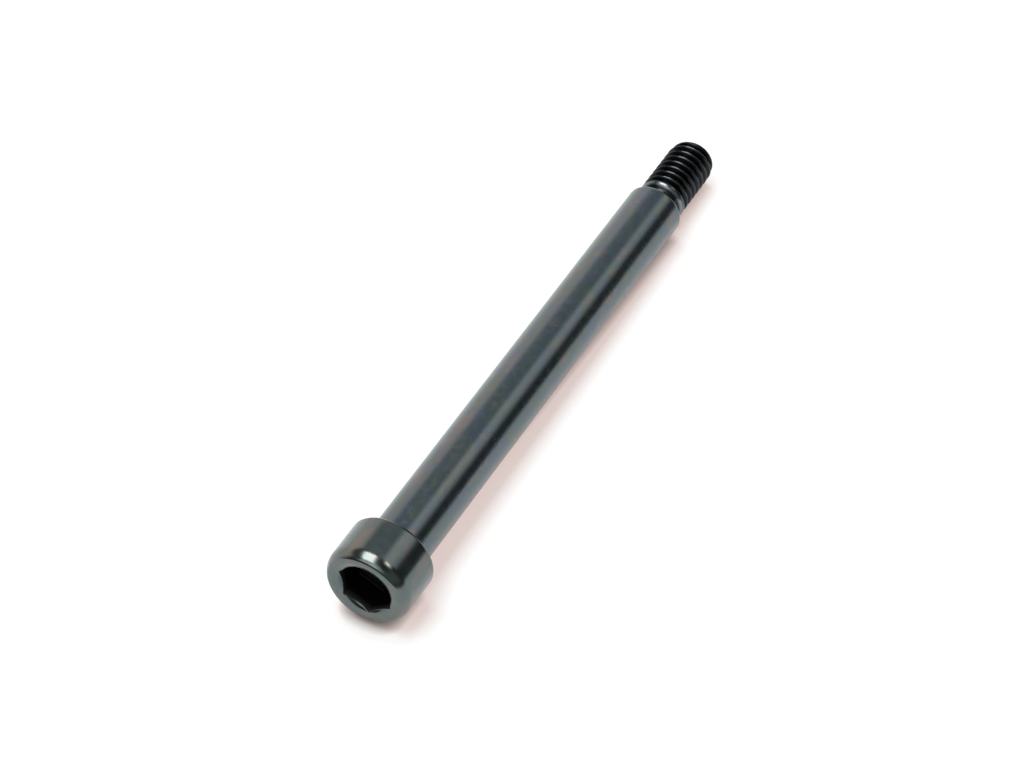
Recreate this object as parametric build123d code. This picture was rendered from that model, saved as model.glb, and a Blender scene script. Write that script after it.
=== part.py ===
from build123d import *
import math
import os

# A socket-head shoulder bolt, turned and threaded from one bar.
# It is built upright: the axis is Z, the head's seat is at Z = 0, the head is below it and the
# thread points up. At the end it is laid down the way it comes to rest on a table.
# All sizes are in millimetres and all angles in degrees.

# Head
head_diameter = 14.0
head_height = 8.7
head_face_diameter = 12.2
head_rounding_length = 2.05
head_face_edge_radius = 0.75
head_seat_bevel_length = 0.4
head_seat_bevel_drop = 0.25

# Hexagon socket
socket_across_flats = 8.0
socket_depth = 4.9
socket_point_depth = 1.3
socket_angle = -7.3
socket_dish_diameter = 10.6
socket_dish_slope = 20.0
socket_chamfer_diameter = 9.5
socket_chamfer_slope = 45.0
socket_chamfer_reach = 0.1

# Shoulder
shoulder_diameter = 9.5
shoulder_length = 85.7
shoulder_root_radius = 0.4
shoulder_end_radius = 0.6

# Thread, with the proportions of an inch thread: 60 degree flanks, a crest flat of an eighth
# of the pitch and a root cut 0.6134 of the pitch deep
thread_diameter = 7.92
thread_pitch = 1.411
thread_length = 14.2
thread_flank_angle = 30.0
thread_crest_flat = thread_pitch / 8
thread_depth = 0.6134 * thread_pitch
thread_start_angle = -45.5
thread_start_height = 2.3

# Relief between the shoulder and the thread, a little under the thread's root
relief_length = 1.3
relief_clearance = 0.09
relief_root_radius = 0.3
relief_rise_length = 1.5

# Thread end
tip_diameter = 7.1
tip_taper_length = 1.6

# Radii and heights that follow from the sizes above
head_radius = head_diameter / 2
shoulder_radius = shoulder_diameter / 2
thread_radius = thread_diameter / 2
thread_root_radius = thread_radius - thread_depth
relief_radius = thread_root_radius - relief_clearance
tip_radius = tip_diameter / 2
head_front = -head_height
tip_height = shoulder_length + thread_length


def turned_blank():
    """The bolt as it comes off the lathe, before the socket and the thread."""
    rise_start = shoulder_length + relief_length
    rise_end = rise_start + relief_rise_length
    taper_start = tip_height - tip_taper_length
    face_edge = (head_face_diameter / 2, head_front)
    rounding_start = (head_radius, head_front + head_rounding_length)
    seat_corner = (head_radius, -head_seat_bevel_length)
    seat_edge = (head_radius - head_seat_bevel_drop, 0)
    shoulder_root = (shoulder_radius, 0)
    shoulder_end = (shoulder_radius, shoulder_length)
    relief_root = (relief_radius, shoulder_length)
    with BuildSketch(Plane.XZ) as half_section:
        with BuildLine():
            Line((0, head_front), face_edge)
            TangentArc(rounding_start, face_edge, tangent=(0, -1))
            Polyline(
                rounding_start,
                seat_corner,
                seat_edge,
                shoulder_root,
                shoulder_end,
                relief_root,
                (relief_radius, rise_start),
                (thread_radius, rise_end),
                (thread_radius, taper_start),
                (tip_radius, tip_height),
                (0, tip_height),
                (0, head_front),
            )
        make_face()
        corner_radii = {
            face_edge: head_face_edge_radius,
            shoulder_root: shoulder_root_radius,
            shoulder_end: shoulder_end_radius,
            relief_root: relief_root_radius,
        }
        for (radius, height), corner_radius in corner_radii.items():
            corner = half_section.vertices().sort_by_distance((radius, height, 0))[0]
            fillet(corner, corner_radius)
    return revolve(half_section.sketch, Axis.Z)


def hexagon_socket():
    """The tool that forms the socket: a hexagon with a conical floor and a dished, bevelled mouth.

    The bevel is turned, so it cuts deeper in the middle of each flat than at the corners.
    """
    hexagon = RegularPolygon(socket_across_flats / 2, 6, major_radius=False, rotation=socket_angle)
    prism = Pos(0, 0, head_front) * extrude(hexagon, socket_depth)
    floor_radius = socket_across_flats / 2
    point = Pos(0, 0, head_front + socket_depth) * Cone(
        floor_radius,
        0,
        socket_point_depth,
        align=(Align.CENTER, Align.CENTER, Align.MIN),
    )
    dish_radius = socket_dish_diameter / 2
    chamfer_radius = socket_chamfer_diameter / 2
    inner_radius = floor_radius - socket_chamfer_reach
    dish_slope = math.tan(math.radians(socket_dish_slope))
    chamfer_slope = math.tan(math.radians(socket_chamfer_slope))
    dish_depth = (dish_radius - chamfer_radius) * dish_slope
    chamfer_depth = (chamfer_radius - inner_radius) * chamfer_slope
    mouth_end = head_front + dish_depth + chamfer_depth
    mouth_section = Plane.XZ * make_face(
        Polyline(
            (0, head_front),
            (dish_radius, head_front),
            (chamfer_radius, head_front + dish_depth),
            (inner_radius, mouth_end),
            (0, mouth_end),
            close=True,
        )
    )
    return prism + point + revolve(mouth_section, Axis.Z)


def helix_path(radius, turns):
    """A helix of whole turns that starts at height 0, with one edge for each turn."""
    turn = Edge.make_helix(thread_pitch, thread_pitch, radius).edge()
    return Wire([Pos(0, 0, count * thread_pitch) * turn for count in range(turns)])


def thread_groove():
    """The V groove between the thread's crests, as one helical solid.

    It starts on the rise from the relief to the thread and runs out past the tip.
    """
    overcut = thread_crest_flat / 2
    outer_radius = thread_radius + overcut
    slope = math.tan(math.radians(thread_flank_angle))
    crest_half_width = (thread_pitch - thread_crest_flat) / 2
    outer_half_width = crest_half_width + overcut * slope
    root_half_width = crest_half_width - thread_depth * slope
    start_height = shoulder_length + thread_start_height
    turns = math.ceil((tip_height + outer_half_width - start_height) / thread_pitch)
    section = Face(
        Wire.make_polygon(
            [
                (thread_root_radius, 0, -root_half_width),
                (thread_root_radius, 0, root_half_width),
                (outer_radius, 0, outer_half_width),
                (outer_radius, 0, -outer_half_width),
            ]
        )
    )
    groove = sweep(section, path=helix_path(thread_root_radius, turns), is_frenet=True)
    return Pos(0, 0, start_height) * Rot(Z=thread_start_angle) * groove


def shoulder_bolt():
    """The finished bolt, upright."""
    return turned_blank() - hexagon_socket() - thread_groove()


def laid_down(bolt):
    """The bolt as it rests: on the edge of the head's seat and the end of the shoulder."""
    drop = head_radius - shoulder_radius
    span = shoulder_length - shoulder_end_radius + head_seat_bevel_length
    rest_angle = math.degrees(math.atan2(drop, span))
    resting = Rot(Y=90 + rest_angle) * bolt
    box = resting.bounding_box()
    return Pos(-box.center().X, -box.center().Y, -box.min.Z) * resting


os.makedirs("parts", exist_ok=True)
bolt = laid_down(shoulder_bolt())
bolt.label = "shoulder_bolt"
export_step(bolt, "parts/shoulder_bolt.step")
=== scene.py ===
import math
import bmesh
import bpy
from mathutils import Matrix, Vector


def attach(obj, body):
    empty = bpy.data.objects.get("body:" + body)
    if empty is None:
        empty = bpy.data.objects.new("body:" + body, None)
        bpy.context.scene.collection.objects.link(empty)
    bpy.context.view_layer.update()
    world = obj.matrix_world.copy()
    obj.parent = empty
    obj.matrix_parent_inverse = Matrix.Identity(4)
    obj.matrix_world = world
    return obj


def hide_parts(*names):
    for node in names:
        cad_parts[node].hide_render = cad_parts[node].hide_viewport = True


# A socket-head shoulder bolt, lying on a white table.
# The bolt is modelled upright in millimetres, as in the part's source: the axis is Z, the head's
# seat is at Z = 0, the head is below it and the thread points up. Everything else is in metres.
MM = 0.001

# Head
HEAD_RADIUS = 7.0
HEAD_HEIGHT = 8.7
HEAD_FACE_RADIUS = 6.1
HEAD_ROUNDING_LENGTH = 2.05
HEAD_FACE_EDGE_RADIUS = 0.75
HEAD_SEAT_BEVEL_LENGTH = 0.4
HEAD_SEAT_BEVEL_DROP = 0.25
HEAD_WALL_ROWS = (-6.3, -5.2, -4.0, -2.6, -1.2)
FACE_EDGE_STEPS = 10
HEAD_ROUNDING_STEPS = 16

# Points that soften the two ends of the bevel under the head: gaps of the rows just before it,
# each end's step across and along the axis, and the gap to the flat seat
BEVEL_ROW_GAPS = (0.15, 0.04)
BEVEL_START_CUT = (0.015, 0.03)
BEVEL_END_CUT = (0.02, 0.035)
BEVEL_SEAT_GAP = 0.03
SEAT_ROW = 6.3

# Hexagon socket
SOCKET_APOTHEM = 4.0
SOCKET_DEPTH = 4.9
SOCKET_POINT_DEPTH = 1.3
SOCKET_ANGLE = math.radians(-7.3)
SOCKET_FLOOR_ROUNDING = 0.06
SOCKET_WALL_SHARES = (0.25, 0.5, 0.75, 1.0)
# Rings of the floor's cone, which stays just inside the walls
SOCKET_POINT_SHARES = (0.25, 0.5, 0.75, 0.98, 1.0)
SOCKET_POINT_INSET = 0.999

# Socket mouth: a shallow dish in the face, then a turned bevel that grows steeper inwards
DISH_RADIUS = 5.3
DISH_SLOPE = math.radians(20.0)
DISH_EDGE_ROUNDING = 0.04
BEVEL_RADIUS = 4.75
BEVEL_ROUNDING = 1.5
SOCKET_RIM_ROUNDING = 0.06
RIM_CORNER_SHARE = 0.25
MOUTH_RINGS = 20
MOUTH_LAST_RING = DISH_RADIUS + 0.08
MOUTH_EDGE = DISH_RADIUS + 0.1

# Shoulder
SHOULDER_RADIUS = 4.75
SHOULDER_LENGTH = 85.7
SHOULDER_ROOT_RADIUS = 0.4
SHOULDER_END_RADIUS = 0.6
SHOULDER_END_STEPS = 8
ROOT_STEPS = 6

# Rows of points along the shoulder, the first and the last as gaps from its rounded ends
SHOULDER_ROOT_GAP = 0.1
SHOULDER_FIRST_ROWS = (1.0, 2.0)
SHOULDER_ROW_SPACING = 5.0
SHOULDER_ROW_COUNT = 16
SHOULDER_LAST_ROW = 83.0
SHOULDER_END_GAPS = (0.8, 0.1)

# Thread
THREAD_RADIUS = 3.96
THREAD_PITCH = 1.411
THREAD_LENGTH = 14.2
THREAD_FLANK_ANGLE = math.radians(30.0)
THREAD_CREST_FLAT = THREAD_PITCH / 8
THREAD_DEPTH = 0.6134 * THREAD_PITCH
THREAD_START_ANGLE = math.radians(-45.5)
THREAD_ROOT_RADIUS = THREAD_RADIUS - THREAD_DEPTH
CREST_ROUNDING = 0.2
ROOT_ROUNDING = 0.1

# Relief and thread end. The rise from the relief to the thread is steeper here than in the
# part's source, as the photograph shows it.
RELIEF_LENGTH = 1.35
RELIEF_RADIUS = THREAD_ROOT_RADIUS - 0.09
RELIEF_ROOT_RADIUS = 0.3
RELIEF_WALL_GAP = 0.3
RELIEF_RISE_LENGTH = 0.8
RISE_ROUNDING = 0.3
TAPER_ROUNDING = 0.05
TIP_RADIUS = 3.55
TIP_TAPER_LENGTH = 1.6
TIP_EDGE_ROUNDING = 0.08
TIP_CORNER_SHARE = 0.3
TIP_FACE_ROWS = (2.8, 1.8, 0.8)

# The groove's shape, as in the part's source
FLANK_SLOPE = 1 / math.tan(THREAD_FLANK_ANGLE)
CREST_HALF_WIDTH = (THREAD_PITCH - THREAD_CREST_FLAT) / 2
ROOT_HALF_WIDTH = CREST_HALF_WIDTH - THREAD_DEPTH / FLANK_SLOPE
GROOVE_START = 2.3
# The groove reaches its full depth over this share of a turn
GROOVE_FADE = 0.12
# Turns of the groove that are followed below the thread and past its end
GROOVES_BELOW = 2
GROOVES_ABOVE = 1
# Passes that find where a flank meets the blank
FLANK_PASSES = 12
ROOT_ROW_SHARES = (0.5, 1.0, 1.5)

# Mesh: points round the axis, a whole number for each of the socket's six sides
POINTS_ROUND = 240
SHARP_ANGLE = math.radians(38.0)
MERGE_DISTANCE = 0.0004

# Middle of the head's seat in the part's frame, in metres
SEAT_PLACE = (-0.045553, 0.0, 0.006987)

# Material places on the bolt
GROUND, HEAD, THREAD, SOCKET = range(4)

# Tones of the oxide
GREEN = (0.122, 0.15, 0.136)
BLUE_GREEN = (0.12, 0.146, 0.155)
BLUE = (0.12, 0.14, 0.172)
NEUTRAL = (0.148, 0.152, 0.15)
BROWN = (0.156, 0.153, 0.147)
# The socket's tones are darker than the oxide elsewhere, as painted shade for its deep recess
SOCKET_TONES = [(0.06, 0.06, 0.06), (0.05, 0.05, 0.05), (0.07, 0.07, 0.07)]

# Looks in the order of the material places: name, tones from low to high blotches, roughness
# from and to, stretch of the machining marks, depth of the marks and of the grain in
# millimetres, and how metallic the surface is
SURFACES = [
    (
        "oxide_ground", [BROWN, BLUE, BLUE_GREEN, GREEN, NEUTRAL],
        (0.2, 0.28), (0.05, 0.05, 9.0), 0.002, 0.0006, 1.0,
    ),
    (
        "oxide_head", [NEUTRAL, BLUE_GREEN, GREEN, NEUTRAL, BROWN],
        (0.16, 0.23), (0.3, 0.3, 5.0), 0.002, 0.001, 1.0,
    ),
    (
        "oxide_thread", [BLUE_GREEN, NEUTRAL, BLUE],
        (0.2, 0.28), (0.5, 0.5, 5.0), 0.002, 0.0015, 1.0,
    ),
    (
        "oxide_socket", SOCKET_TONES,
        (0.3, 0.4), (2.0, 2.0, 0.4), 0.003, 0.003, 0.7,
    ),
]

# Noise: scale, detail and roughness
BLOTCH_NOISE = (0.34, 4.0, 0.6)
SMEAR_NOISE = (0.9, 3.0, 0.6)
MARK_NOISE = (1.0, 3.0, 0.6)
GRAIN_NOISE = (6.0, 2.0, 0.5)
BLOTCH_STRETCH = (1.0, 1.0, 0.6)
NO_STRETCH = (1.0, 1.0, 1.0)
# The lowest blotches that change the tone, and the range up to the highest
BLOTCH_START = 0.36
BLOTCH_SPAN = 0.28
SMEAR_RANGE = (0.3, 0.7)

# Painted shade, and on the neck's rise a painted highlight, as shares of the tone: from and to in
# millimetres, then the shares
# Painted shade deep in the thread's grooves, and the whole thread darker
PAINTED_GROOVE_SHADE = (3.7, 3.94, 0.14, 0.48)
# Painted shade low on the neck's rise and a painted highlight along its top edge
PAINTED_RISE_SHADE_AND_HIGHLIGHT = (3.45, 3.7, 0.25, 1.4)
PAINTED_RISE_FADE = 0.25
# Painted shade going into the socket, slightly brighter just inside its mouth
PAINTED_SOCKET_SHADE = (0.5 - HEAD_HEIGHT, 1.8 - HEAD_HEIGHT, 1.2, 0.1)
# Painted shade on the bevel under the head, where it meets the shoulder
PAINTED_SEAT_SHADE = (-0.5, -0.4, 1.0, 0.3)
# Where the painted shade of the socket's mouth reaches, and how it deepens into the mouth
PAINTED_MOUTH_SHADE_REACH = (DISH_RADIUS - 0.1, DISH_RADIUS + 0.2, 0.0, 1.0)
PAINTED_MOUTH_SHADE = (0.25 - HEAD_HEIGHT, 0.9 - HEAD_HEIGHT, 1.0, 0.45)

# Table: the colour it is lit in, and the colour and strength of its own glow
TABLE_HALF_SIZE = 3.0
TABLE_COLOUR = (0.43, 0.59, 0.62, 1.0)
TABLE_GLOW_COLOUR = (1.0, 0.74, 0.68, 1.0)
TABLE_GLOW = 0.6
# Painted contact shadow: the table's colour and glow darken where the bolt is nearer than this, in metres
PAINTED_CONTACT_SHADOW = 0.002

# Lamps: name, middle of the panel in metres, width, depth, brightness and colour. All panels
# hang level.
LAMPS = [
    ("overhead", (-0.12, 0.375, 1.5), 1.35, 0.83, 6.2, (1.0, 1.0, 1.0)),
    ("side", (0.525, -0.915, 1.5), 0.55, 0.5, 4.8, (1.0, 0.86, 0.82)),
]

# The room round the table: a dim colour, and paler places given by the azimuth of their middle
# from +X towards +Y, the half width where they are full and where they end, the lowest and
# highest elevation, how far they fade above and below, and the colour they add
ROOM_COLOUR = (0.07, 0.08, 0.085)
ROOM_PATCHES = [
    (60.0, 38.0, 62.0, -20.0, 27.0, 14.0, (1.14, 1.0, 0.94)),
    (8.0, 22.0, 48.0, 30.0, 60.0, 14.0, (0.27, 0.32, 0.35)),
    (-35.0, 6.0, 20.0, 34.0, 50.0, 12.0, (0.95, 0.95, 0.93)),
    (165.0, 16.0, 34.0, 40.0, 52.0, 12.0, (1.6, 1.6, 1.55)),
    (-165.0, 12.0, 28.0, 44.0, 58.0, 10.0, (1.0, 1.0, 0.97)),
    (-125.0, 30.0, 55.0, 18.0, 40.0, 12.0, (0.16, 0.17, 0.17)),
]
# The highest elevation, in degrees
ZENITH = 90.0
# A vector times this loses its part along Z
LEVEL_PART = (1.0, 1.0, 0.0)

# Camera: place and direction in the part's frame, and the lens in millimetres
CAMERA_PLACE = (-0.303977, -0.160162, 0.367750)
CAMERA_DIRECTION = (0.600325, 0.325921, -0.730332)
SENSOR_WIDTH = 36.0
LENS_LENGTH = 112.5
CLIP_START = 0.01
CLIP_END = 50.0

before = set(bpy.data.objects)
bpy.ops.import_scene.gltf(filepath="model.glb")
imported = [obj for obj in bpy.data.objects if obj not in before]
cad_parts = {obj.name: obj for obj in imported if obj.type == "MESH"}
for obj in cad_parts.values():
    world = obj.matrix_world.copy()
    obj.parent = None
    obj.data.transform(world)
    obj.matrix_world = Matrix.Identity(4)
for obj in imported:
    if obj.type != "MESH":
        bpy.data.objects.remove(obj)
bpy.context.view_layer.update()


def arc_points(centre, radius, start, end, steps):
    """Points (r, z) of an arc in the half section, angles from the +r direction towards +z."""
    points = []
    for step in range(steps + 1):
        angle = start + (end - start) * step / steps
        r = centre[0] + radius * math.cos(angle)
        z = centre[1] + radius * math.sin(angle)
        points.append((r, z))
    return points


def head_profile():
    """Half section from the head's flat face out, up the head and in along its seat."""
    front = -HEAD_HEIGHT
    drop = HEAD_RADIUS - HEAD_FACE_RADIUS
    rounding_radius = (drop ** 2 + HEAD_ROUNDING_LENGTH ** 2) / (2 * drop)
    rounding_centre = (HEAD_RADIUS - rounding_radius, front + HEAD_ROUNDING_LENGTH)
    edge_height = front + HEAD_FACE_EDGE_RADIUS
    reach = rounding_radius - HEAD_FACE_EDGE_RADIUS
    rise = rounding_centre[1] - edge_height
    edge_centre = (rounding_centre[0] + math.sqrt(reach ** 2 - rise ** 2), edge_height)
    turn = math.atan2(rise, edge_centre[0] - rounding_centre[0])

    profile = [(MOUTH_EDGE, front)]
    profile += arc_points(edge_centre, HEAD_FACE_EDGE_RADIUS, -math.pi / 2, -turn, FACE_EDGE_STEPS)
    profile += arc_points(rounding_centre, rounding_radius, -turn, 0, HEAD_ROUNDING_STEPS)[1:]
    bevel = -HEAD_SEAT_BEVEL_LENGTH
    seat_edge = HEAD_RADIUS - HEAD_SEAT_BEVEL_DROP
    rows = list(HEAD_WALL_ROWS)
    rows += [bevel - gap for gap in BEVEL_ROW_GAPS]
    profile += [(HEAD_RADIUS, z) for z in rows]
    profile.append((HEAD_RADIUS - BEVEL_START_CUT[0], bevel + BEVEL_START_CUT[1]))
    profile.append((seat_edge + BEVEL_END_CUT[0], -BEVEL_END_CUT[1]))
    profile.append((seat_edge - BEVEL_SEAT_GAP, 0.0))
    profile.append((SEAT_ROW, 0.0))
    return profile


def shoulder_profile():
    """Half section from the shoulder's root at the head to the root of the relief."""
    root_centre = (SHOULDER_RADIUS + SHOULDER_ROOT_RADIUS, SHOULDER_ROOT_RADIUS)
    profile = arc_points(root_centre, SHOULDER_ROOT_RADIUS, -math.pi / 2, -math.pi, ROOT_STEPS)
    wall_end = SHOULDER_LENGTH - SHOULDER_END_RADIUS
    rows = [SHOULDER_ROOT_RADIUS + SHOULDER_ROOT_GAP, *SHOULDER_FIRST_ROWS]
    rows += [SHOULDER_ROW_SPACING * count for count in range(1, SHOULDER_ROW_COUNT + 1)]
    rows.append(SHOULDER_LAST_ROW)
    rows += [wall_end - gap for gap in SHOULDER_END_GAPS]
    profile += [(SHOULDER_RADIUS, z) for z in rows]
    end_centre = (SHOULDER_RADIUS - SHOULDER_END_RADIUS, wall_end)
    profile += arc_points(end_centre, SHOULDER_END_RADIUS, 0, math.pi / 2, SHOULDER_END_STEPS)
    relief_centre = (RELIEF_RADIUS + RELIEF_ROOT_RADIUS, SHOULDER_LENGTH + RELIEF_ROOT_RADIUS)
    profile.append((relief_centre[0] + RELIEF_WALL_GAP, SHOULDER_LENGTH))
    profile += arc_points(relief_centre, RELIEF_ROOT_RADIUS, -math.pi / 2, -math.pi, ROOT_STEPS)
    return profile


def soft_minimum(a, b, width):
    """The smaller of two values, with the corner between them rounded."""
    mix = min(max(0.5 + 0.5 * (b - a) / width, 0.0), 1.0)
    return b + (a - b) * mix - width * mix * (1 - mix)


def blank_radius(z):
    """The bolt's radius before the thread is cut, z above the shoulder's end."""
    rise_slope = (THREAD_RADIUS - RELIEF_RADIUS) / RELIEF_RISE_LENGTH
    rise = RELIEF_RADIUS + (z - RELIEF_LENGTH) * rise_slope
    taper_slope = (THREAD_RADIUS - TIP_RADIUS) / TIP_TAPER_LENGTH
    taper = TIP_RADIUS + (THREAD_LENGTH - z) * taper_slope
    r = soft_minimum(THREAD_RADIUS, rise, RISE_ROUNDING)
    r = soft_minimum(r, taper, TAPER_ROUNDING)
    return -soft_minimum(-r, -RELIEF_RADIUS, RISE_ROUNDING)


def groove_radius(distance, lift):
    """The groove's radius at a distance along the axis from its middle, raised by a lift."""
    flank = THREAD_ROOT_RADIUS + (abs(distance) - ROOT_HALF_WIDTH) * FLANK_SLOPE
    return lift - soft_minimum(-THREAD_ROOT_RADIUS, -flank, ROOT_ROUNDING)


def thread_rows(middle, side):
    """Distances from a groove's middle to the next crest's, where the thread's shape needs points."""
    half_pitch = THREAD_PITCH / 2
    edge = CREST_HALF_WIDTH
    for _ in range(FLANK_PASSES):
        rise = blank_radius(middle + side * edge) - THREAD_ROOT_RADIUS
        edge = max(ROOT_HALF_WIDTH + rise / FLANK_SLOPE, 0.0)
    reach = CREST_ROUNDING / FLANK_SLOPE
    rows = [share * ROOT_HALF_WIDTH for share in ROOT_ROW_SHARES]
    rows.append((rows[-1] + edge - reach) / 2)
    rows += [edge - reach, edge - reach / 3, edge + reach / 3, edge + reach]
    rows.append((edge + reach + half_pitch) / 2)
    return sorted(min(max(row, 0.0), half_pitch) for row in rows)


def thread_point(height, middle, low, high):
    """The thread's (r, z) at a height, near a groove whose middle is given."""
    z = min(max(height, low), high)
    nearest = (z - middle + THREAD_PITCH / 2) % THREAD_PITCH - THREAD_PITCH / 2
    turns_in = (z - nearest - GROOVE_START) / THREAD_PITCH
    if turns_in < 0:
        nearest -= THREAD_PITCH
        turns_in += 1
    share = min(max(1 - turns_in / GROOVE_FADE, 0.0), 1.0)
    groove_wall = groove_radius(nearest, (THREAD_DEPTH + CREST_ROUNDING) * share)
    return soft_minimum(blank_radius(z), groove_wall, CREST_ROUNDING), z


def thread_columns(low, high):
    """For each point round the axis, the (r, z) points up the thread, which follow the helix.

    z is above the shoulder's end. Points outside low to high are brought to those ends.
    """
    last_groove = math.ceil(high / THREAD_PITCH) + GROOVES_ABOVE
    columns = []
    for point in range(POINTS_ROUND):
        angle = SOCKET_ANGLE + 2 * math.pi * point / POINTS_ROUND
        turn = (angle - THREAD_START_ANGLE) / (2 * math.pi)
        column = []
        for groove in range(-GROOVES_BELOW, last_groove + 1):
            middle = GROOVE_START + (turn + groove) * THREAD_PITCH
            heights = [middle - row for row in reversed(thread_rows(middle, -1))]
            heights.append(middle)
            heights += [middle + row for row in thread_rows(middle, 1)]
            heights.append(middle + THREAD_PITCH / 2)
            column += [thread_point(height, middle, low, high) for height in heights]
        columns.append(column)
    return columns


def mouth_depth(r):
    """How far the turned mouth of the socket lies behind the head's face."""
    if r >= MOUTH_EDGE:
        return 0.0
    if r < BEVEL_RADIUS:
        start = BEVEL_ROUNDING * math.sin(DISH_SLOPE)
        reach = min(start + BEVEL_RADIUS - r, BEVEL_ROUNDING)
        fall = math.sqrt(BEVEL_ROUNDING ** 2 - start ** 2) - math.sqrt(BEVEL_ROUNDING ** 2 - reach ** 2)
        return (DISH_RADIUS - BEVEL_RADIUS) * math.tan(DISH_SLOPE) + fall
    dish = (DISH_RADIUS - r) * math.tan(DISH_SLOPE)
    return -soft_minimum(-dish, 0.0, DISH_EDGE_ROUNDING)


def hexagon_radius(angle):
    """Distance from the axis to the socket's wall."""
    side = math.pi / 3
    from_corner = (angle - SOCKET_ANGLE) % side
    return SOCKET_APOTHEM / math.cos(from_corner - side / 2)


class Lathe:
    """Collects rings of points round the axis and the faces between them."""

    def __init__(self):
        self.mesh = bmesh.new()
        self.last = None
        self.angles = [SOCKET_ANGLE + 2 * math.pi * point / POINTS_ROUND for point in range(POINTS_ROUND)]

    def point(self, r, angle, z):
        return self.mesh.verts.new((r * math.cos(angle), r * math.sin(angle), z))

    def face(self, corners, material):
        self.mesh.faces.new(corners).material_index = material

    def join(self, lower, upper, material):
        """Faces between two rings of the same number of points."""
        for index in range(POINTS_ROUND):
            after = (index + 1) % POINTS_ROUND
            self.face((lower[index], lower[after], upper[after], upper[index]), material)

    def ring(self, radii, heights, material):
        """The next ring, joined to the one before. radii and heights have a value for each point."""
        points = [self.point(r, angle, z) for angle, r, z in zip(self.angles, radii, heights)]
        if self.last:
            self.join(self.last, points, material)
        self.last = points
        return points

    def even_ring(self, r, z, material):
        """The next ring, of one radius and one height."""
        return self.ring([r] * POINTS_ROUND, [z] * POINTS_ROUND, material)

    def cap(self, ring, height, material, upwards):
        """One point on the axis, joined to a ring."""
        middle = self.mesh.verts.new((0, 0, height))
        for index in range(POINTS_ROUND):
            corners = (ring[index], ring[(index + 1) % POINTS_ROUND], middle)
            self.face(corners if upwards else tuple(reversed(corners)), material)


def add_socket(lathe):
    """The socket and its mouth, out to the head's face. Returns the first ring of the floor's cone."""
    front = -HEAD_HEIGHT
    floor = front + SOCKET_DEPTH
    point_height = floor + SOCKET_POINT_DEPTH
    cone = []
    for share in SOCKET_POINT_SHARES:
        r = SOCKET_APOTHEM * share * SOCKET_POINT_INSET
        cone.append(lathe.even_ring(r, point_height - SOCKET_POINT_DEPTH * share, SOCKET))
    wall = [hexagon_radius(angle) for angle in lathe.angles]
    rims = [front + mouth_depth(r) for r in wall]
    start = floor - SOCKET_FLOOR_ROUNDING
    lathe.ring([r - SOCKET_FLOOR_ROUNDING for r in wall], [floor] * POINTS_ROUND, SOCKET)
    lathe.ring(wall, [start] * POINTS_ROUND, SOCKET)
    for share in SOCKET_WALL_SHARES:
        lathe.ring(wall, [start + (rim + SOCKET_RIM_ROUNDING - start) * share for rim in rims], SOCKET)
    # Bevel and dish, from the slightly rounded rim out to the head's face
    corner = SOCKET_RIM_ROUNDING * RIM_CORNER_SHARE
    lathe.ring([r + corner for r in wall], [rim + corner for rim in rims], HEAD)
    for step in range(MOUTH_RINGS):
        radii = []
        for r in wall:
            rim_radius = r + SOCKET_RIM_ROUNDING
            radii.append(rim_radius + (MOUTH_LAST_RING - rim_radius) * step / (MOUTH_RINGS - 1))
        lathe.ring(radii, [front + mouth_depth(r) for r in radii], HEAD)
    return cone[0]


def add_thread(lathe):
    """The thread along its helix, joined to the last ring below it, and the tip's face."""
    columns = thread_columns(RELIEF_ROOT_RADIUS, THREAD_LENGTH - TIP_EDGE_ROUNDING)
    # The middle of a groove and that of a crest are rows of their own. Any height gives the count.
    rows_per_pitch = len(thread_rows(0.0, 1)) * 2 + 2
    grid = []
    for angle, column in zip(lathe.angles, columns):
        grid.append([lathe.point(r, angle, SHOULDER_LENGTH + z) for r, z in column])
    rows = len(columns[0])
    for index in range(POINTS_ROUND):
        after = (index + 1) % POINTS_ROUND
        shift = rows_per_pitch if after == 0 else 0
        for row in range(rows - 1 - shift):
            corners = (
                grid[index][row],
                grid[after][row + shift],
                grid[after][row + 1 + shift],
                grid[index][row + 1],
            )
            lathe.face(corners, THREAD)
    lathe.join(lathe.last, [column[0] for column in grid], THREAD)

    tips = [column[-1][0] for column in columns]
    tip_end = SHOULDER_LENGTH + THREAD_LENGTH
    corner = TIP_EDGE_ROUNDING * TIP_CORNER_SHARE
    lathe.last = [column[-1] for column in grid]
    lathe.ring([r - corner for r in tips], [tip_end - corner] * POINTS_ROUND, THREAD)
    lathe.ring([r - TIP_EDGE_ROUNDING for r in tips], [tip_end] * POINTS_ROUND, THREAD)
    for r in TIP_FACE_ROWS:
        lathe.even_ring(r, tip_end, THREAD)
    lathe.cap(lathe.last, tip_end, THREAD, True)


def bolt_mesh():
    """The bolt's surface as one closed mesh, upright, in millimetres."""
    lathe = Lathe()
    point_ring = add_socket(lathe)
    for r, z in head_profile() + shoulder_profile():
        lathe.even_ring(r, z, HEAD if z <= 0.0 else GROUND)
    add_thread(lathe)
    lathe.cap(point_ring, -HEAD_HEIGHT + SOCKET_DEPTH + SOCKET_POINT_DEPTH, SOCKET, False)
    mesh = lathe.mesh
    bmesh.ops.remove_doubles(mesh, verts=mesh.verts, dist=MERGE_DISTANCE)
    bmesh.ops.dissolve_degenerate(mesh, dist=MERGE_DISTANCE, edges=mesh.edges)
    bmesh.ops.recalc_face_normals(mesh, faces=mesh.faces)
    return mesh


def lying_down():
    """The place of the upright bolt when it rests on the edge of its head and its shoulder's end."""
    drop = HEAD_RADIUS - SHOULDER_RADIUS
    span = SHOULDER_LENGTH - SHOULDER_END_RADIUS + HEAD_SEAT_BEVEL_LENGTH
    rest_angle = math.atan2(drop, span)
    turn = Matrix.Rotation(math.pi / 2 + rest_angle, 4, "Y")
    return Matrix.Translation(Vector(SEAT_PLACE)) @ turn


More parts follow.
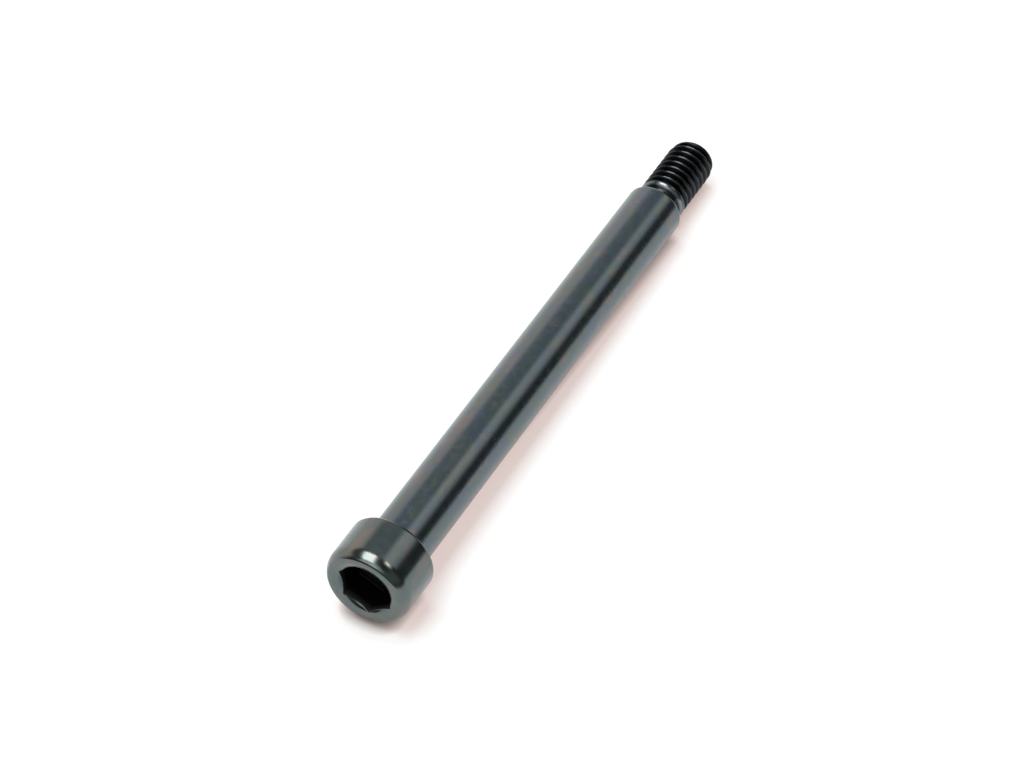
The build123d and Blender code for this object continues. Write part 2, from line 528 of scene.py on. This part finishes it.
class Nodes:
    """Short ways to add and join shader nodes. A value may be a node's output or a constant."""

    def __init__(self, tree):
        self.tree = tree
        tree.nodes.clear()

    def add(self, kind, **settings):
        node = self.tree.nodes.new(kind)
        for name, value in settings.items():
            setattr(node, name, value)
        return node

    def feed(self, value, target):
        """Links a node's output to an input, or sets the input to a constant."""
        if isinstance(value, bpy.types.NodeSocket):
            self.tree.links.new(value, target)
        else:
            target.default_value = value

    def number(self, operation, first, second):
        """Two numbers joined by a math operation."""
        node = self.add("ShaderNodeMath", operation=operation)
        self.feed(first, node.inputs[0])
        self.feed(second, node.inputs[1])
        return node.outputs[0]

    def vector(self, operation, *values, output="Vector"):
        """Vectors joined by a vector math operation."""
        node = self.add("ShaderNodeVectorMath", operation=operation)
        for value, target in zip(values, node.inputs):
            self.feed(value, target)
        return node.outputs[output]

    def scaled(self, colour, share):
        """A colour times a number."""
        node = self.add("ShaderNodeVectorMath", operation="SCALE")
        self.feed(colour, node.inputs[0])
        self.feed(share, node.inputs["Scale"])
        return node.outputs["Vector"]

    def spread(self, source, low, high, to_low=0.0, to_high=1.0, smooth=False):
        """A number brought from the range low to high to another range, and held at its ends."""
        node = self.add("ShaderNodeMapRange", interpolation_type="SMOOTHSTEP" if smooth else "LINEAR")
        limits = {"From Min": low, "From Max": high, "To Min": to_low, "To Max": to_high}
        for name, value in limits.items():
            node.inputs[name].default_value = value
        self.feed(source, node.inputs["Value"])
        return node.outputs["Result"]

    def ramp(self, source, stops):
        """A colour between stops, each a position and a colour."""
        node = self.add("ShaderNodeValToRGB")
        elements = node.color_ramp.elements
        while len(elements) < len(stops):
            elements.new(0.5)
        for element, (position, colour) in zip(elements, stops):
            element.position = position
            element.color = (*colour, 1.0)
        self.feed(source, node.inputs["Fac"])
        return node.outputs["Color"]

    def coordinates(self, scale=NO_STRETCH):
        """The upright bolt's coordinates in millimetres, times scale."""
        place = self.add("ShaderNodeTexCoord")
        mapping = self.add("ShaderNodeMapping", vector_type="TEXTURE")
        resting = lying_down()
        mapping.inputs["Location"].default_value = resting.to_translation()
        mapping.inputs["Rotation"].default_value = resting.to_euler()
        mapping.inputs["Scale"].default_value = [MM / value for value in scale]
        self.feed(place.outputs["Object"], mapping.inputs["Vector"])
        return mapping.outputs["Vector"]

    def radius(self):
        """Distance from the bolt's axis in millimetres."""
        flat = self.vector("MULTIPLY", self.coordinates(), LEVEL_PART)
        return self.vector("LENGTH", flat, output="Value")

    def height(self):
        """Distance from the head's seat towards the thread in millimetres."""
        parts = self.add("ShaderNodeSeparateXYZ")
        self.feed(self.coordinates(), parts.inputs[0])
        return parts.outputs["Z"]

    def noise(self, settings, stretch=NO_STRETCH):
        """Noise whose cells are about 1 / scale millimetres wide."""
        node = self.add("ShaderNodeTexNoise")
        for name, value in zip(("Scale", "Detail", "Roughness"), settings):
            node.inputs[name].default_value = value
        self.feed(self.coordinates(stretch), node.inputs["Vector"])
        return node.outputs["Fac"]

    def bump(self, height, depth, normal=None):
        """A surface direction roughened by a height, with its depth in millimetres."""
        node = self.add("ShaderNodeBump")
        node.inputs["Strength"].default_value = 1.0
        node.inputs["Distance"].default_value = depth * MM
        self.feed(height, node.inputs["Height"])
        if normal:
            self.feed(normal, node.inputs["Normal"])
        return node.outputs["Normal"]


def thread_painted_shade_and_highlight(nodes):
    """The share of the tone: painted shade deep in the thread's grooves and over the whole thread, and on
    the neck's rise painted shade low down with a painted highlight at its top edge.
    """
    groove_shade = nodes.spread(nodes.radius(), *PAINTED_GROOVE_SHADE)
    rise_shade_and_highlight = nodes.spread(nodes.radius(), *PAINTED_RISE_SHADE_AND_HIGHLIGHT)
    rise_end = SHOULDER_LENGTH + RELIEF_LENGTH + RELIEF_RISE_LENGTH
    before_thread = nodes.spread(nodes.height(), rise_end, rise_end + PAINTED_RISE_FADE, 1.0, 0.0)
    rise = nodes.number("MULTIPLY", rise_shade_and_highlight, before_thread)
    return nodes.number("MAXIMUM", groove_shade, rise)


def socket_painted_shade(nodes):
    """The share of the tone that is left going into the socket: painted shade, a little brighter just
    inside the mouth.
    """
    return nodes.spread(nodes.height(), *PAINTED_SOCKET_SHADE)


def head_painted_shade(nodes):
    """The share of the tone: painted shade in the socket's mouth and on the bevel under the head."""
    seat = nodes.spread(nodes.height(), *PAINTED_SEAT_SHADE)
    outside = nodes.spread(nodes.radius(), *PAINTED_MOUTH_SHADE_REACH)
    depth = nodes.spread(nodes.height(), *PAINTED_MOUTH_SHADE)
    return nodes.number("MULTIPLY", seat, nodes.number("MAXIMUM", outside, depth))


# The surfaces whose tone carries painted shade, and on the thread a painted highlight
PAINTED_SHADES = {"oxide_head": head_painted_shade, "oxide_thread": thread_painted_shade_and_highlight, "oxide_socket": socket_painted_shade}


def new_material(name):
    """An empty material, with its nodes and its output."""
    material = bpy.data.materials.new(name)
    material.use_nodes = True
    nodes = Nodes(material.node_tree)
    return material, nodes, nodes.add("ShaderNodeOutputMaterial")


def oxide(name, tones, roughness, mark_stretch, mark_depth, grain_depth, metal):
    """Black oxide on steel: a dark metal film, blotchy in tone, with machining marks and grain. On the
    head, thread and socket the tone also carries painted shade, with a painted highlight on the neck's
    rise.
    """
    material, nodes, output = new_material(name)
    shader = nodes.add("ShaderNodeBsdfPrincipled")
    nodes.feed(shader.outputs["BSDF"], output.inputs["Surface"])
    shader.inputs["Metallic"].default_value = metal
    last = len(tones) - 1
    stops = [(BLOTCH_START + BLOTCH_SPAN * index / last, tone) for index, tone in enumerate(tones)]
    colour = nodes.ramp(nodes.noise(BLOTCH_NOISE, BLOTCH_STRETCH), stops)
    # Painted shade, and a painted highlight on the neck's rise, multiply the tone here
    if name in PAINTED_SHADES:
        colour = nodes.scaled(colour, PAINTED_SHADES[name](nodes))
    nodes.feed(colour, shader.inputs["Base Color"])
    smears = nodes.spread(nodes.noise(SMEAR_NOISE), *SMEAR_RANGE, *roughness)
    nodes.feed(smears, shader.inputs["Roughness"])
    marks = nodes.bump(nodes.noise(MARK_NOISE, mark_stretch), mark_depth)
    grain = nodes.bump(nodes.noise(GRAIN_NOISE), grain_depth, marks)
    nodes.feed(grain, shader.inputs["Normal"])
    return material


def build_bolt():
    """The visible bolt, in place of the part's plain solid."""
    source = bolt_mesh()
    mesh = bpy.data.meshes.new("shoulder_bolt_surface")
    source.to_mesh(mesh)
    source.free()
    mesh.transform(lying_down() @ Matrix.Scale(MM, 4))
    for surface in SURFACES:
        mesh.materials.append(oxide(*surface))
    for polygon in mesh.polygons:
        polygon.use_smooth = True
    mesh.set_sharp_from_angle(angle=SHARP_ANGLE)
    bolt = bpy.data.objects.new("shoulder_bolt_body", mesh)
    bpy.context.scene.collection.objects.link(bolt)
    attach(bolt, "root")
    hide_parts("shoulder_bolt")


def build_table():
    """A wide white table top. Its own faint glow keeps the lit part white and the shadow soft, and a
    painted contact shadow darkens its colour and glow near the bolt.
    """
    size = TABLE_HALF_SIZE
    mesh = bpy.data.meshes.new("table_top")
    corners = [(-size, -size, 0), (size, -size, 0), (size, size, 0), (-size, size, 0)]
    mesh.from_pydata(corners, [], [(0, 1, 2, 3)])
    table = bpy.data.objects.new("table_top", mesh)
    bpy.context.scene.collection.objects.link(table)
    material, nodes, output = new_material("white_table")
    # Painted contact shadow: ambient occlusion darkens the table's colour and its glow near the bolt
    contact_shadow_paint = nodes.add("ShaderNodeAmbientOcclusion")
    contact_shadow_paint.inputs["Distance"].default_value = PAINTED_CONTACT_SHADOW
    contact_shadow_paint.inputs["Color"].default_value = TABLE_COLOUR
    diffuse = nodes.add("ShaderNodeBsdfDiffuse")
    nodes.feed(contact_shadow_paint.outputs["Color"], diffuse.inputs["Color"])
    path = nodes.add("ShaderNodeLightPath")
    seen = nodes.number("MAXIMUM", path.outputs["Is Camera Ray"], path.outputs["Is Glossy Ray"])
    seen = nodes.number("MAXIMUM", seen, path.outputs["Is Transmission Ray"])
    glow_outside_contact_shadow = nodes.number("MULTIPLY", seen, contact_shadow_paint.outputs["AO"])
    glow = nodes.add("ShaderNodeEmission")
    glow.inputs["Color"].default_value = TABLE_GLOW_COLOUR
    nodes.feed(nodes.number("MULTIPLY", glow_outside_contact_shadow, TABLE_GLOW), glow.inputs["Strength"])
    both = nodes.add("ShaderNodeAddShader")
    nodes.feed(diffuse.outputs[0], both.inputs[0])
    nodes.feed(glow.outputs[0], both.inputs[1])
    nodes.feed(both.outputs[0], output.inputs["Surface"])
    mesh.materials.append(material)


def build_lamps():
    """The level panels that light the bolt and the table."""
    for name, middle, width, depth, brightness, colour in LAMPS:
        data = bpy.data.lights.new(name, "AREA")
        data.shape = "RECTANGLE"
        data.size = width
        data.size_y = depth
        # An area lamp of this power has the named brightness all over its face
        data.energy = brightness * math.pi * width * depth
        data.color = colour
        lamp = bpy.data.objects.new(name, data)
        lamp.location = middle
        bpy.context.scene.collection.objects.link(lamp)


def sine(degrees):
    return math.sin(math.radians(degrees))


def cosine(degrees):
    return math.cos(math.radians(degrees))


def build_world():
    """A dim room with a few soft paler places, such as walls and windows."""
    world = bpy.data.worlds.new("room")
    bpy.context.scene.world = world
    world.use_nodes = True
    nodes = Nodes(world.node_tree)
    output = nodes.add("ShaderNodeOutputWorld")
    background = nodes.add("ShaderNodeBackground")
    nodes.feed(background.outputs[0], output.inputs["Surface"])
    direction = nodes.add("ShaderNodeTexCoord").outputs["Generated"]
    parts = nodes.add("ShaderNodeSeparateXYZ")
    nodes.feed(direction, parts.inputs[0])
    height = parts.outputs["Z"]
    bearing = nodes.vector("NORMALIZE", nodes.vector("MULTIPLY", direction, LEVEL_PART))
    total = ROOM_COLOUR
    for azimuth, full, edge, low, high, softness, colour in ROOM_PATCHES:
        middle = (cosine(azimuth), sine(azimuth), 0.0)
        towards = nodes.vector("DOT_PRODUCT", bearing, middle, output="Value")
        top = min(high + softness, ZENITH)
        across = nodes.spread(towards, cosine(edge), cosine(full), smooth=True)
        above = nodes.spread(height, sine(low - softness), sine(low), smooth=True)
        below = nodes.spread(height, sine(top), sine(high), smooth=True)
        share = nodes.number("MULTIPLY", across, nodes.number("MULTIPLY", above, below))
        total = nodes.vector("ADD", nodes.scaled(colour, share), total)
    nodes.feed(total, background.inputs["Color"])
    background.inputs["Strength"].default_value = 1.0


def build_camera():
    """The photograph's camera: its place, its direction and its lens."""
    data = bpy.data.cameras.new("camera")
    data.sensor_width = SENSOR_WIDTH
    data.lens = LENS_LENGTH
    data.clip_start = CLIP_START
    data.clip_end = CLIP_END
    camera = bpy.data.objects.new("camera", data)
    camera.location = Vector(CAMERA_PLACE)
    camera.rotation_euler = Vector(CAMERA_DIRECTION).to_track_quat("-Z", "Y").to_euler()
    bpy.context.scene.collection.objects.link(camera)
    bpy.context.scene.camera = camera


bpy.context.scene.view_settings.view_transform = "Standard"
build_camera()
build_bolt()
build_table()
build_lamps()
build_world()
